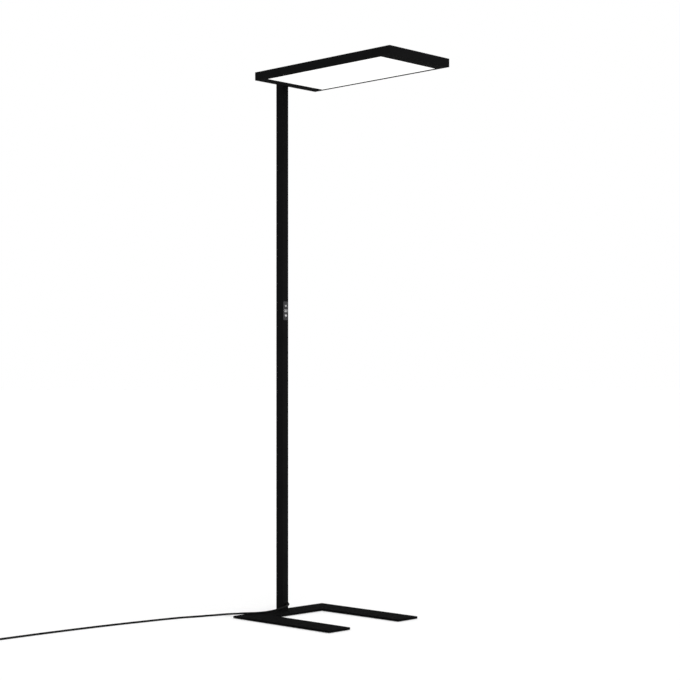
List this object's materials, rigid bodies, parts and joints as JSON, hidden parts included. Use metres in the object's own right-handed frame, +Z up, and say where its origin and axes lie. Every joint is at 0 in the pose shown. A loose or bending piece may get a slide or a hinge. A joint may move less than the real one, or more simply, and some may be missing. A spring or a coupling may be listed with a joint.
{
  "type": "floor lamp",
  "caption": "Office floor lamp: open flat foot, slim rectangular post with a keypad, flat rectangular head that lights down and up.",
  "frame": {"origin": "on the floor, under the middle of the bounding box of the lamp without its free cord", "axes": "+X from the post to the free end of the head, +Y across the lamp to its far side, +Z up"},
  "size_m": [1.0839, 1.435, 1.95],
  "materials": {
    "black_steel": "matte black powder coat with a fine texture",
    "black_aluminium": "extruded aluminium under a matte black powder coat",
    "plain_steel": "bare milled steel",
    "plain_aluminium": "bare aluminium",
    "zinc_screws": "zinc plated",
    "black_screws": "black oxide",
    "pad_rubber": "dull elastomer",
    "cord_rubber": "satin black cable sheath",
    "black_plastic": "fine moulded texture",
    "grey_plastic": "satin dark grey",
    "nickel": "nickel-plated brass",
    "thin_lead": "sheathed wire",
    "green_board": "solder mask",
    "white_board": "white solder mask",
    "white_sheet": "matte white coil coating",
    "white_plastic": "moulded",
    "opal": "satin opal sheet"
  },
  "bodies": {
    "stand": {"foot_plate": "black_steel", "glide_pads": "pad_rubber", "foot_block": "plain_steel", "foot_screws": "zinc_screws", "post_tube": "black_aluminium", "post_set_screws": "black_screws", "post_cap": "black_plastic", "post_top_block": "plain_aluminium", "head_bracket": "plain_steel", "bracket_screws": "black_screws", "bracket_rivets": "black_aluminium", "cable_gland": "black_plastic", "cord_boot": "cord_rubber", "mains_cord": "cord_rubber", "cord_coil": "cord_rubber", "cord_tail": "cord_rubber", "plug_body": "black_plastic", "plug_contacts": "nickel", "post_mains_lead": "cord_rubber", "control_lead": "thin_lead", "driver_lead": "thin_lead", "keypad_fascia": "grey_plastic", "keypad_carrier": "black_plastic", "keypad_board": "green_board", "key_switches": "black_plastic", "board_screws": "zinc_screws", "head_side_left": "black_aluminium", "head_side_right": "black_aluminium", "head_end_post": "black_aluminium", "head_end_far": "black_aluminium", "corner_keys": "plain_aluminium", "top_cover": "black_aluminium", "cover_screws": "black_screws", "top_window": "opal", "light_tray": "white_sheet", "led_boards_down": "white_board", "led_boards_up": "white_board", "light_panel": "opal", "led_driver": "plain_aluminium", "driver_pads": "pad_rubber", "terminal_block": "white_plastic", "led_leads": "thin_lead"},
    "upper_key": {"key_up": "grey_plastic"},
    "middle_key": {"key_power": "grey_plastic"},
    "lower_key": {"key_down": "grey_plastic"}
  },
  "joints": [
    {"name": "upper_key_press", "type": "slide", "parent": "stand", "child": "upper_key", "axis": [-1, 0, 0], "range_m": [0, 0.0006], "stiffness_N_per_m": 2500},
    {"name": "middle_key_press", "type": "slide", "parent": "stand", "child": "middle_key", "axis": [-1, 0, 0], "range_m": [0, 0.0006], "stiffness_N_per_m": 2500},
    {"name": "lower_key_press", "type": "slide", "parent": "stand", "child": "lower_key", "axis": [-1, 0, 0], "range_m": [0, 0.0006], "stiffness_N_per_m": 2500}
  ]
}
